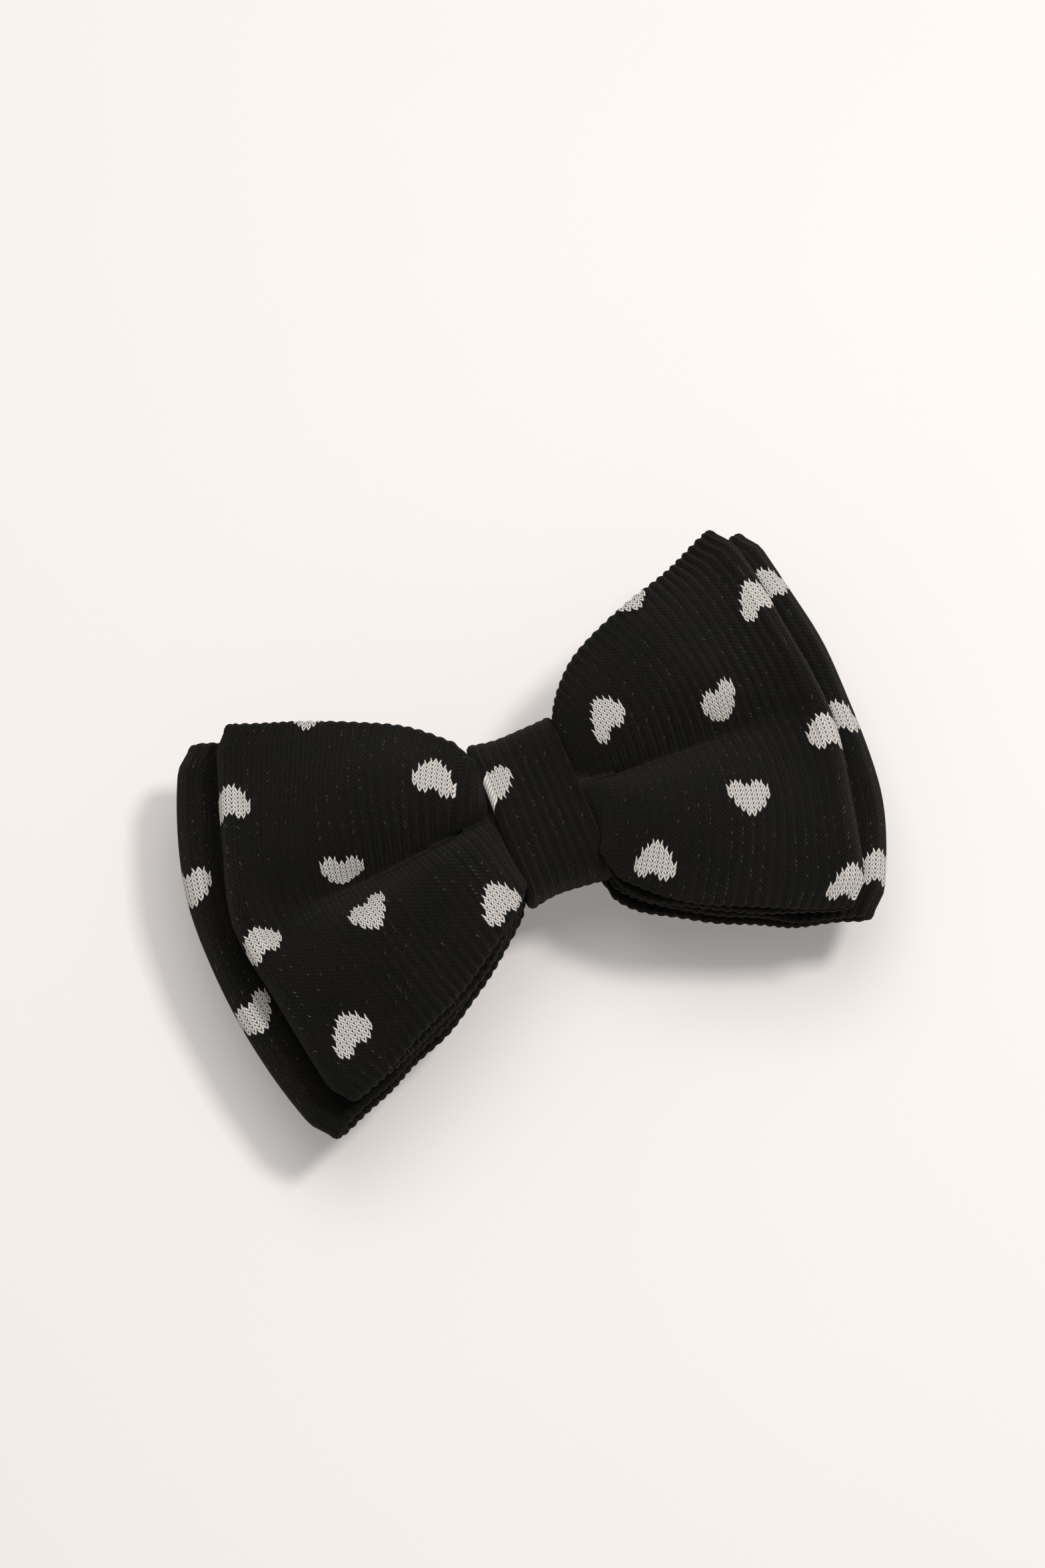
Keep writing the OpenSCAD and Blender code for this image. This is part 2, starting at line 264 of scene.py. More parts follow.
def knit_material(name, dark_a, dark_b, light):
    """Stocking stitch in ribs, with hearts whose edges follow whole stitches."""
    g = Graph(name)
    uv = g.node("ShaderNodeUVMap", uv_map="strip").outputs[0]
    s, v, _ = g.split(uv)
    column = g.math("DIVIDE", s, WALE)
    wale = g.math("FLOOR", column)
    across = g.math("SUBTRACT", column, wale)
    side = g.math("MULTIPLY", g.math("ABSOLUTE", g.math("SUBTRACT", across, 0.5)), 2.0)
    row = g.math("SUBTRACT", g.math("DIVIDE", v, COURSE), g.math("MULTIPLY", side, 1.1))
    course = g.math("FLOOR", row)
    within = g.math("SUBTRACT", row, course)
    yarn = g.math("POWER", g.math("SINE", g.math("MULTIPLY", within, math.pi)), 0.8)
    legs = g.math("MULTIPLY", g.ramp(side, 0.0, 0.3), g.ramp(side, 1.0, 0.72))
    height = g.math("MULTIPLY", yarn, g.math("ADD", g.math("MULTIPLY", legs, 0.7), 0.3))
    dice = g.random(g.join(wale, course))

    # the heart nearest to this stitch, measured from the stitch's middle
    hearts = g.node("ShaderNodeAttribute", attribute_name="heart").outputs["Vector"]
    heart_s, heart_v, way = g.split(hearts)
    stitch_s = g.math("MULTIPLY", g.math("ADD", wale, 0.5), WALE)
    stitch_v = g.math("MULTIPLY", g.math("ADD", course, 1.0), COURSE)
    out = g.math("DIVIDE", g.math("ABSOLUTE", g.math("SUBTRACT", stitch_s, heart_s)), WALE)
    y = g.math("DIVIDE", g.math("MULTIPLY", g.math("SUBTRACT", stitch_v, heart_v), way), COURSE)
    off_lobe = g.math("SUBTRACT", out, 2.0)
    top = g.math("SUBTRACT", 3.9, g.math("MULTIPLY", g.math("MULTIPLY", off_lobe, off_lobe), 0.8))
    point = g.math("SUBTRACT", g.math("MULTIPLY", g.math("MULTIPLY", out, out), 0.32), 4.1)
    inside = g.math("MULTIPLY", g.math("LESS_THAN", y, top), g.math("GREATER_THAN", y, point))

    # stray specks of the light yarn that lies behind, in the valleys between ribs
    valley = g.math("ABSOLUTE", g.math("COSINE", g.math("MULTIPLY", s, math.pi / RIB)))
    patch = g.noise(uv, 0.07, 2.0)
    chance = g.math("SUBTRACT", 1.0, g.math("MULTIPLY", g.ramp(patch, 0.4, 0.66), 0.3))
    speck = g.math("MULTIPLY", g.math("GREATER_THAN", dice, chance), g.ramp(valley, 0.34, 0.05))
    speck = g.math("MULTIPLY", speck, g.ramp(within, 0.62, 0.8))
    speck = g.math("MULTIPLY", speck, g.ramp(dice, 0.7, 1.0, 0.02, 0.13))

    # the slit between the two legs of each stitch, where the yarn behind shows dark
    off_middle = g.math("ABSOLUTE", g.math("SUBTRACT", within, 0.5))
    slit = g.math("MULTIPLY", g.ramp(side, 0.42, 0.12), g.ramp(off_middle, 0.22, 0.42))
    cover = g.math("MULTIPLY", inside, g.ramp(height, 0.1, 0.36, 0.25, 1.0))
    cover = g.math("MULTIPLY", cover, g.math("SUBTRACT", 1.0, g.math("MULTIPLY", slit, 0.9)))
    mottle = g.noise(uv, 0.11, 4.0)
    fibre = g.noise(g.join(g.math("MULTIPLY", s, 1.7), v), 2.1, 5.0, 0.75)
    slanted = g.math("ADD", v, g.math("MULTIPLY", s, 0.4))
    hairs = g.noise(g.join(g.math("MULTIPLY", s, 2.6), slanted), 1.3, 4.0, 0.8)
    dark = g.mix(g.ramp(mottle, 0.38, 0.62), dark_a, dark_b)
    shade = g.math("ADD", g.math("MULTIPLY", fibre, 1.1), g.math("MULTIPLY", height, 0.6))
    dark = g.mix(g.ramp(shade, 0.5, 1.0), YARN_SHADOW, dark)
    dark = g.mix(g.math("MULTIPLY", g.ramp(hairs, 0.54, 0.70), 0.6), dark, YARN_HAIRS)
    pale = g.mix(g.ramp(fibre, 0.3, 0.75), tuple(0.86 * c for c in light[:3]) + (1,), light)
    colour = g.mix(g.math("MAXIMUM", cover, speck), dark, pale)
    relief = g.math("SUBTRACT", height, g.math("MULTIPLY", slit, 0.5))
    relief = g.math("ADD", relief, g.math("MULTIPLY", fibre, 0.7))
    g.set(Base_Color=colour, Roughness=g.ramp(fibre, 0.2, 0.8, 0.82, 0.98))
    g.set(Sheen_Weight=0.05, Sheen_Roughness=0.5, Sheen_Tint=(0.9, 0.86, 0.8, 1), Specular_IOR_Level=0.12)
    g.bump(relief, 0.28 * MM, 0.9)
    return g.material


# ---------------------------------------------------------------- the two loops
RIB_STEPS = 7           # stations of the mesh over one rib
ROWS = 41               # rows of the mesh from one edge of a strip to the other


def outline(x, neck, corner_x, corner_h):
    """Half height of a wing at x, which flares from the band to the corners."""
    u = np.clip((x - BAND_HALF - 0.4) / (corner_x - BAND_HALF - 0.4), 0, 1.2)
    flare = 0.37 * (1 - np.exp(-4.2 * u)) + 0.636 * u
    inside_band = 11.7 + 0.5 * smooth(2, 8, x)
    opened = neck + (corner_h - neck) * flare
    return inside_band + (opened - inside_band) * smooth(BAND_HALF - 1.2, BAND_HALF + 1.2, x)


def ring_path(top, bottom, fold_x):
    """Closed section of a loop in XZ: out along the top wall, round the fold, back along the bottom."""
    x = np.linspace(0, fold_x, 400)
    high, low = top(x), bottom(x)
    radius, middle = (high[-1] - low[-1]) / 2, (high[-1] + low[-1]) / 2
    a = np.linspace(math.pi / 2, -math.pi / 2, 60)[1:-1]
    xs = np.concatenate([x, fold_x + radius * np.cos(a), x[::-1]])
    zs = np.concatenate([high, middle + radius * np.sin(a), low[::-1]])
    wall = np.concatenate([np.ones(400), np.sin(a), -np.ones(400)])
    xs = np.concatenate([xs, -xs[::-1][1:-1]])
    zs = np.concatenate([zs, zs[::-1][1:-1]])
    wall = np.concatenate([wall, wall[::-1][1:-1]])
    return xs, zs, wall


LEAN = 1.8              # the left wings are this much longer, and the right ones shorter
NEST_WIDTH = 1.9        # how much wider the walls under the front valley dip than the valley itself
STACK_SEED = 21         # one unevenness for all walls of both loops, so they nest
FAN_START = 6.0         # the ribs fan out within this distance of the band


def pick(pair, side):
    """The left or right value of a pair, for each station round the ring."""
    return np.where(side > 0, pair[1], pair[0])


def strip_height(mid, from_line, half_width, reach):
    """Place across the strip, counted in from its edges; the cloth left over is tucked into the valley."""
    arc = np.zeros(mid.shape[:2])
    arc[:, 1:] = np.cumsum(np.linalg.norm(np.diff(mid, axis=1), axis=2), 1)
    edge = half_width - (8.0 * np.exp(-np.maximum(reach - BAND_HALF, 0) / 9.0))[:, None]
    below = arc - edge
    above = edge - (arc[:, -1:] - arc)
    upper = smooth(-2.2, 2.2, from_line)
    return below * (1 - upper) + above * upper


def loop_surface(spec):
    """Middle surface of a gathered loop and each point's place in its strip."""
    xs, zs, wall = ring_path(spec["top"], spec["bottom"], spec["fold_x"])
    step = np.hypot(np.diff(xs, append=xs[0]), np.diff(zs, append=zs[0]))
    run = np.concatenate([[0], np.cumsum(step)])
    ribs = round(run[-1] / RIB)
    pitch = run[-1] / ribs
    s = np.arange(ribs * RIB_STEPS) * pitch / RIB_STEPS

    def at(values):
        return np.interp(s, run, np.append(values, values[0]))

    x0, z0, w = at(xs), at(zs), at(wall)
    side, reach = np.sign(x0), np.abs(x0)
    q = np.sin(np.linspace(-1, 1, ROWS) * 1.25) / math.sin(1.25)
    grid_q = np.tile(q, (len(s), 1))
    reach2, side2, w2 = reach[:, None], side[:, None], w[:, None]
    high = grid_q > 0
    high_inset, low_inset = (pick(spec["inset"][way], side)[:, None] for way in ("high", "low"))
    inset = np.where(high, high_inset, low_inset)
    fan = 1 - np.exp(-np.maximum(reach2 - BAND_HALF, 0) / FAN_START)
    bend = np.where(side2 > 0, spec["bend"][1], spec["bend"][0])
    x = reach2 - inset * fan * np.abs(grid_q) ** bend
    rounding = smooth(0.9, 1.0, np.abs(grid_q)) * smooth(38, 56, reach2)
    x = x - 1.7 * rounding
    halves = []
    for way in ("low", "high"):
        edge = pick(spec["inset"][way], side)
        edge_x = reach - edge * fan[:, 0]
        corner_x = spec["fold_x"] + 3.5 - edge
        tall = pick(spec["half_height"][way], side)
        halves.append(outline(edge_x, pick(spec["neck"][way], side), corner_x, tall) - PLY / 2 - 0.2)
    low_h, high_h = halves
    y = np.where(high, grid_q * high_h[:, None], grid_q * low_h[:, None])

    # the central valley and the two lobes
    top_w, low_w = np.clip(w2, 0, 1), np.clip(-w2, 0, 1)
    line = spec["valley_line"](reach2, side2)
    past_band = np.maximum(reach2 - BAND_HALF, 0)
    steep = np.where((side2 < 0) | (y > line), 1.0, 0.0)
    width = np.where(steep > 0, 2.6 + 0.09 * past_band, 3.0 + 0.19 * past_band)
    cleft = np.exp(-(np.abs(y - line) / width) ** np.where(steep > 0, 1.7, 1.4))
    gentle = np.exp(-(np.abs(y - line) / (NEST_WIDTH * width)) ** 1.6)
    under = spec["under_valley"](reach2)
    room = spec["top"](reach2) - spec["bottom"](reach2) + under - PLY - 0.5
    depth = np.minimum(spec["valley"](reach2), np.maximum(room, 0))
    z = z0[:, None] - top_w * depth * (cleft if spec["sharp"] else gentle) - low_w * under * gentle
    crown = spec["edge_drop"] * smooth(BAND_HALF - 2, BAND_HALF + 12, reach2)
    z = z - top_w * crown * np.abs(grid_q) ** 3.2 + low_w * 0.25 * crown * np.abs(grid_q) ** 3.2
    lobes = np.sin(np.clip(np.abs(grid_q), 0, 1) * math.pi) ** 1.5
    z = z + top_w * spec["lobe"] * lobes * smooth(BAND_HALF, 22, reach2) * (1 - smooth(34, 54, reach2))

    # uneven hand of the cloth, quiet inside the band
    loose = smooth(BAND_HALF, BAND_HALF + 8, reach2)
    s2 = np.broadcast_to(s[:, None], y.shape)
    z = z + 0.42 * loose * drift(x * side2, y, STACK_SEED)
    x = x + 0.35 * loose * drift(s2, y, spec["seed"] + 1)
    y = y + 0.4 * loose * drift(s2, y, spec["seed"] + 2)

    shift = LEAN * smooth(6, 24, reach2)
    mid = np.stack([x * side2 - shift, y, z], -1)
    strip = np.stack([s2, strip_height(mid, y - line, spec["half_width"], reach)], -1)
    return mid, strip, w2, grid_q, reach2, pitch


def knit_loop(name, spec, hearts_in_front, hearts_behind, material):
    mid, strip, wall, q, reach, pitch = loop_surface(spec)
    s = strip[..., 0]
    ridge = np.abs(np.cos(math.pi * s / pitch)) ** 0.9 - 0.62
    strength = 0.11 + 0.05 * drift(s, strip[..., 1], spec["seed"] + 5)
    strength = strength + 0.14 * smooth(22, 44, mid[..., 0]) * smooth(-12, 14, mid[..., 1])
    strength = np.maximum(strength, 0.03) + 0.2 * smooth(0.9, 1.0, np.abs(q))
    lift = ridge * strength
    fold_line = np.exp(-((q + 0.86) / 0.035) ** 2) * smooth(20, 30, -mid[..., 0]) * np.clip(wall, 0, 1)
    lift = lift - spec["groove"] * fold_line
    tight = 1 - smooth(BAND_HALF + 1, BAND_HALF + 16, reach)
    half_t = np.full(s.shape, PLY / 2) - 0.2 * tight
    front = np.where((wall > -0.2)[..., None], mid, 1e3)
    back = np.where((wall < -0.3)[..., None], mid, 1e3)
    hearts = place_hearts(front, strip, hearts_in_front) + place_hearts(back, strip, hearts_behind)
    # hearts on the inner face follow the knit's own spacing
    inside_middle = 2 * spec["half_width"] + PLY * math.pi / 2
    for k in range(int(s.max() / HEART_PITCH[0])):
        for j in (-1, 0):
            across = inside_middle + HEART_PITCH[1] * (j + (k % 2) / 2)
            hearts.append((*whole_stitch(HEART_PITCH[0] * (k + 0.5), across), -1))
    obj = ring_cloth(name, mid, half_t, lift, strip, hearts)
    obj.data.materials.append(material)
    return obj


FRONT_TIP, BACK_TIP = mm(FRONT, 1, 0), mm(BACK, 1, 0)
FRONT_TOP, FRONT_BOTTOM = mm(FRONT, 1, 2) - PLY / 2, mm(FRONT, 0, 2) + PLY / 2
BACK_TOP, BACK_BOTTOM = mm(BACK, 1, 2) - PLY / 2, mm(BACK, 0, 2) + PLY / 2
WAIST = [STACK_MID + k * (PLY - 0.12) for k in (-1.5, -0.5, 0.5, 1.5)]


VALLEY_START = 8        # the valleys come out from under the band here


def rise(x, start, full, scale, fall, fall_from, fall_to):
    """Height of a wall from its waist to the fold."""
    out = start + (full - start) * (1 - np.exp(-np.maximum(x - BAND_HALF + 1.5, 0) / scale))
    return out + fall * smooth(fall_from, fall_to, x)


def valley_line(x, side):
    """Where the valley runs: from a little above the middle at the band, falling towards the fold."""
    past_start = x - VALLEY_START
    return np.where(side > 0, 2.2 - 0.05 * past_start, 2.0 - 0.11 * past_start)


def back_loop_room(x):
    """Room for the back loop's front wall to dip before it meets its own back wall."""
    gap = BACK_SPEC["top"](x) - BACK_SPEC["bottom"](x) + BACK_SPEC["under_valley"](x)
    return np.maximum(gap - PLY - 0.5, 0)


def nested_dip(x):
    """How far the front loop's valley presses the two walls under it down."""
    pressed = 1.9 * smooth(BAND_HALF, BAND_HALF + 6, x) * (1 - smooth(32, 54, x))
    return np.minimum(pressed, back_loop_room(x))


FRONT_SPEC = {
    "fold_x": FRONT_TIP - 3.8,
    "top": lambda x: rise(x, WAIST[3], FRONT_TOP, 4.8, -1.9, 34, FRONT_TIP - 3.8),
    "bottom": lambda x: rise(x, WAIST[2], FRONT_BOTTOM + 0.35, 4.0, 0.5, 40, FRONT_TIP - 3.8),
    "neck": {"low": (15.2, 18.0), "high": (16.8, 15.4)},
    "half_width": 38.0,
    "inset": {"low": (6.2, 9.0), "high": (9.8, 4.4)},
    "half_height": {"low": (38.6, 38.6), "high": (36.2, 38.4)},
    "bend": (1.3, 2.1),
    "valley": lambda x: 7.6 * smooth(BAND_HALF - 2.5, BAND_HALF + 3.5, x) * (1 - smooth(36, 60, x)),
    "under_valley": nested_dip,
    "valley_line": valley_line,
    "edge_drop": 2.3,
    "lobe": 0.9,
    "groove": 0.45,
    "sharp": True,
    "seed": 21,
}
BACK_SPEC = {
    "fold_x": BACK_TIP - 3.8,
    "top": lambda x: rise(x, WAIST[1], BACK_TOP - 0.35, 4.0, -0.6, 46, BACK_TIP - 3.8),
    "bottom": lambda x: rise(x, WAIST[0], BACK_BOTTOM, 9.0, 1.6, 40, BACK_TIP - 3.8),
    "neck": {"low": (14.6, 17.2), "high": (16.0, 15.0)},
    "half_width": 39.5,
    "inset": {"low": (7.0, 10.0), "high": (8.6, 3.4)},
    "half_height": {"low": (41.2, 39.6), "high": (38.2, 39.4)},
    "bend": (2.0, 2.3),
    "valley": nested_dip,
    "under_valley": lambda x: -1.2 * smooth(BAND_HALF, BAND_HALF + 5, x) * (1 - smooth(20, 60, x)),
    "valley_line": valley_line,
    "edge_drop": 1.0,
    "lobe": 0.0,
    "groove": 0.0,
    "sharp": False,
    "seed": 33,
}

# hearts: x and y in mm from the middle of the bow, 1 upright or -1 inverted
FRONT_HEARTS = [
    (-51.3, 20.5, -1), (-32.2, 32.2, 1), (-37.7, 2.3, 1), (-16.2, 10.8, -1), (-55.7, -5.4, -1),
    (-35.9, -8.7, 1), (-13.8, -14.4, -1), (-46.9, -27.1, -1), (29.9, 31.2, 1), (16.5, 10.0, -1),
    (50.6, 21.6, -1), (36.7, 5.5, 1), (53.1, -6.5, -1), (34.4, -13.2, 1), (14.5, -17.7, -1),
    (45.5, -34.0, -1),
]
BACK_LOOP_HEARTS = [
    (-63.0, 12.0, 1), (-61.2, -15.2, 1), (55.5, 26.0, -1), (57.6, -2.6, -1), (52.0, -31.0, -1),
]
REAR_HEARTS = [
    (side * x, y, way)
    for side in (-1, 1)
    for x, ys, way in ((17, (-12, 13), -1), (32, (-22, 0, 22), 1), (46, (-13, 12), -1))
    for y in ys
]


# ---------------------------------------------------------------- the centre band
def center_band():
    """Middle surface of the cinched band, its relief and each point's place across and round it."""
    ribs = round(2 * BAND_HALF / RIB)
    columns = ribs * 8 + 1
    x = np.linspace(-BAND_HALF + PLY / 2, BAND_HALF - PLY / 2, columns)
    turns = np.linspace(0, 2 * math.pi, 200, endpoint=False)
    half_y, half_z = BAND_TOP + 0.5 - PLY / 2, (BAND_FRONT - BAND_BACK) / 2 - PLY / 2
    cos, sin = np.cos(turns), np.sin(turns)
    power = 2 / 3.6
    ring_y = half_y * np.sign(cos) * np.abs(cos) ** power
    ring_z = half_z * np.sign(sin) * np.abs(sin) ** power
    step = np.hypot(np.diff(ring_y, append=ring_y[0]), np.diff(ring_z, append=ring_z[0]))
    run = np.concatenate([[0], np.cumsum(step)])
    count = 240
    v = np.arange(count) * run[-1] / count
    ring_y = np.interp(v, run, np.append(ring_y, ring_y[0]))
    ring_z = np.interp(v, run, np.append(ring_z, ring_z[0]))
    xx, yy = np.meshgrid(x, ring_y)
    _, zz = np.meshgrid(x, ring_z)
    cinch = 1 - (xx / BAND_HALF) ** 2
    yy = yy * (1 - 0.07 * cinch) + 0.7
    zz = zz * (1 - 0.05 * cinch)
    vv = np.broadcast_to(v[:, None], xx.shape)
    zz = zz + 0.22 * drift(xx * 1.5, vv, 51)
    yy = yy + 0.25 * drift(xx * 1.5, vv, 52)
    xx = xx + 0.3 * drift(xx * 0.3, vv, 53)
    mid = np.stack([xx, yy, zz + STACK_MID], -1)
    s = np.broadcast_to(x, xx.shape)
    ridge = np.abs(np.cos(math.pi * s / RIB)) ** 0.9 - 0.62
    lift = ridge * (0.17 + 0.06 * drift(s * 2, vv, 54))
    return mid, lift, s, vv


def band_cloth(material):
    """The band's ribs run round it, so its strip place is (across, round)."""
    mid, lift, s, v = center_band()
    front = np.where((mid[..., 2] > STACK_MID)[..., None], mid, 1e3)
    strip = np.stack([s, v], -1)
    hearts = place_hearts(front, strip, [(-6.2, 6.6, -1)])
    behind = np.where((mid[..., 2] < STACK_MID)[..., None], mid, 1e3)
    hearts = hearts + place_hearts(behind, strip, [(5.0, 8.0, -1)])
    half_t = np.full(s.shape, PLY / 2)
    obj = ring_cloth("band_knit", mid, half_t, lift, strip, hearts)
    obj.data.materials.append(material)
    return obj


# ---------------------------------------------------------------- felt and thread
ARCH_R = 149.25         # radius of the clip's arched back
ARCH_Z = -134.75        # height of that arc's centre
FELT, FELT_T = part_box("felt_backing"), 1.2
THREAD = 0.5            # thickness of the sewing thread
SEW_X = 32.3            # middle of each sewing hole
CLIP_LOOP = 2.7         # height of one turn of thread round clip and felt
CLIP_LOOP_LIFT = 0.27   # the middle of a turn over the clip's back
STITCH_RISE = 0.06      # how proud a seam stitch stands in its middle


def on_arch(x, height):
    """The point over x that stands a height above the arched back, in mm, and the slope there."""
    slope = math.asin(x / ARCH_R)
    return x + height * math.sin(slope), ARCH_Z + (ARCH_R + height) * math.cos(slope), slope


def capped_sweep(name, rings):
    """A solid through closed rings of points, its two ends closed with fans."""
    count, around = rings.shape[:2]
    verts = [tuple(p * MM) for p in rings.reshape(-1, 3)]
    faces = []
    for i in range(count - 1):
        for k in range(around):
            up = (k + 1) % around
            faces.append((i * around + k, i * around + up, (i + 1) * around + up, (i + 1) * around + k))
    for end, first in ((0, 0), (count - 1, (count - 1) * around)):
        verts.append(tuple(rings[end].mean(0) * MM))
        for k in range(around):
            pair = (first + k, first + (k + 1) % around)
            faces.append((len(verts) - 1, *(pair[::-1] if end == 0 else pair)))
    return new_object(name, verts, faces)


def felt_strip(material):
    """Thick wool felt: soft rounded edges, a matted surface and slightly wandering cut sides."""
    half_l, half_w = mm(FELT, 1, 0), mm(FELT, 1, 1)
    stations = np.linspace(-1, 1, 300)
    turns = np.linspace(0, 2 * math.pi, 96, endpoint=False)
    rings = []
    for u in stations:
        x = u * (half_l - 0.3)
        px, pz, slope = on_arch(x * 0.985, 0.05 + FELT_T / 2)
        end = 1 - max(0.0, (abs(u) - 0.985) / 0.015) ** 2 * 0.55
        wander = 0.12 * drift(np.array(x), np.array(0.0), 61)
        cos, sin = np.cos(turns), np.sin(turns)
        y = (half_w - 0.15 + wander * np.sign(cos)) * np.sign(cos) * np.abs(cos) ** 0.22
        t = FELT_T / 2 * end * np.sign(sin) * np.abs(sin) ** 0.45
        mat = 0.05 * drift(x + 0 * y, y * 1.3, 62, waves=14, longest=3.4, shortest=0.9)
        t = t + mat * np.sign(sin)
        rings.append(np.stack([px + t * math.sin(slope), y, pz + t * math.cos(slope)], -1))
    obj = capped_sweep("felt_strip", np.array(rings)[:, ::-1])
    obj.data.materials.append(material)
    return obj


def ply_pair(path, closed, twist=1.6):
    """Rings of two plies twisted round a path of points, in mm."""
    path = np.asarray(path, float)
    step = np.linalg.norm(np.diff(path, axis=0, append=path[:1] if closed else path[-1:]), axis=1)
    run = np.concatenate([[0], np.cumsum(step)])
    total = run[-1] if closed else run[-2]
    count = max(8, int(total / 0.16))
    at = np.linspace(0, total, count, endpoint=not closed)
    source = np.vstack([path, path[:1]]) if closed else path
    line = np.stack([np.interp(at, run[:len(source)], source[:, k]) for k in range(3)], -1)
    if closed:
        along = unit(np.roll(line, -1, 0) - np.roll(line, 1, 0))
        turns = round(total / twist)
    else:
        along = unit(np.gradient(line, axis=0))
        turns = total / twist
    seed = np.array([0.12, 0.31, 0.94]) if abs(along[:, 2]).max() < 0.9 else np.array([0.99, 0.05, 0.08])
    a = unit(np.cross(along, seed))
    b = np.cross(along, a)
    plies = []
    for ply in (0, 1):
        phase = 2 * math.pi * turns * at / total + ply * math.pi
        middle = line + (a * np.cos(phase)[:, None] + b * np.sin(phase)[:, None]) * THREAD * 0.22
        ring = []
        for k in range(7):
            angle = 2 * math.pi * k / 7
            ring.append(middle + (a * math.cos(angle) + b * math.sin(angle)) * THREAD * 0.27)
        plies.append(np.stack(ring, 1))
    return plies


def thread_piece(name, paths, closed, material):
    """All the stitches of one seam or lashing as one object."""
    verts, faces = [], []
    for path in paths:
        for rings in ply_pair(path, closed):
            count, around = rings.shape[:2]
            base = len(verts)
            verts += [tuple(p * MM) for p in rings.reshape(-1, 3)]
            for i in range(count if closed else count - 1):
                j = (i + 1) % count
                for k in range(around):
                    up = (k + 1) % around
                    faces.append((base + i * around + k, base + i * around + up,
                                  base + j * around + up, base + j * around + k))
            if not closed:
                faces.append(tuple(base + k for k in reversed(range(around))))
                faces.append(tuple(base + (count - 1) * around + k for k in range(around)))
    obj = new_object(name, verts, faces)
    obj.data.materials.append(material)
    return obj


def bowed(start, end, rise, steps=12):
    """A short stitch from start to end that stands a little proud in the middle."""
    t = np.linspace(0, 1, steps)[:, None]
    line = np.array(start) * (1 - t) + np.array(end) * t
    return line + np.array([0, 0, rise]) * np.sin(math.pi * t)


def spread(node, axis, count):
    """Evenly spaced middles of a node's stitches along an axis, in mm."""
    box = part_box(node)
    return np.linspace(mm(box, 0, axis) + THREAD / 2, mm(box, 1, axis) - THREAD / 2, count)


def level(node):
    """The height of the middle of a node's stitches, in mm."""
    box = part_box(node)
    return (mm(box, 0, 2) + mm(box, 1, 2)) / 2


def seam_threads(material):
    made = []
    for node in ("front_loop_seam", "back_loop_seam"):
        x0, x1 = mm(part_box(node), 0, 0), mm(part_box(node), 1, 0)
        z = level(node)
        paths = [bowed((x0, y - 0.25, z), (x1, y + 0.25, z), STITCH_RISE) for y in spread(node, 1, 9)]
        made.append((thread_piece(node + "_thread", paths, False, material), node))
    node = "band_seam"
    y0, y1 = mm(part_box(node), 0, 1), mm(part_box(node), 1, 1)
    z = level(node)
    paths = [bowed((x - 0.2, y0, z), (x + 0.2, y1, z), STITCH_RISE) for x in spread(node, 0, 8)]
    made.append((thread_piece("band_seam_thread", paths, False, material), node))
    return made


def rounded_loop(half_a, half_b, corner):
    """Points of a rounded rectangle about the origin, as (a, b) pairs."""
    points = []
    for k in range(4):
        mid_angle = math.pi / 4 + k * math.pi / 2
        centre = (math.copysign(half_a - corner, math.cos(mid_angle)),
                  math.copysign(half_b - corner, math.sin(mid_angle)))
        for step in range(7):
            angle = k * math.pi / 2 + step * math.pi / 12
            points.append((centre[0] + corner * math.cos(angle), centre[1] + corner * math.sin(angle)))
    return points


def gather_turns(material):
    """The thread wound round the waists of both loops, under the band."""
    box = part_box("gather_thread")
    half_y, half_z = mm(box, 1, 1) - THREAD / 2, (mm(box, 1, 2) - mm(box, 0, 2)) / 2 - THREAD / 2
    middle = level("gather_thread")
    paths = []
    for k, x in enumerate(spread("gather_thread", 0, 5)):
        slant = 0.05 * (-1) ** k
        paths.append([(x + slant * b, a, middle + b) for a, b in rounded_loop(half_y, half_z, 1.2)])
    return thread_piece("gather_turns", paths, True, material)


def clip_lashing(side, material):
    """Three turns of thread on each half of the clip, through its sewing hole and over its edge."""
    node = "clip_stitches_left" if side < 0 else "clip_stitches_right"
    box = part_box(node)
    outer, inner = mm(box, 1, 1) - THREAD / 2, THREAD / 2 + 0.1
    paths = []
    for turn in (-1, 0, 1):
        for half in (-1, 1):
            loop = rounded_loop((outer - inner) / 2, CLIP_LOOP / 2, 0.35)
            path = []
            for a, b in loop:
                y = half * ((outer + inner) / 2 + a)
                px, pz, slope = on_arch(side * SEW_X, CLIP_LOOP_LIFT + b)
                shift = turn * 0.52 + 0.06 * a
                path.append((px + shift * math.cos(slope), y, pz - shift * math.sin(slope)))
            paths.append(path)
    return thread_piece("clip_lashing_" + ("left" if side < 0 else "right"), paths, True, material), node


def thread_material():
    g = Graph("black_thread")
    where = g.node("ShaderNodeTexCoord").outputs["Object"]
    lint = g.noise(where, 2600.0, 4.0, 0.7)
    strand = g.noise(where, 900.0, 2.0)
    colour = g.mix(g.ramp(lint, 0.35, 0.75), (0.006, 0.0055, 0.006, 1), (0.022, 0.02, 0.019, 1))
    g.set(Base_Color=colour, Roughness=g.ramp(strand, 0.3, 0.7, 0.5, 0.78), Sheen_Weight=0.12)
    g.bump(lint, 0.05 * MM, 0.8)
    return g.material


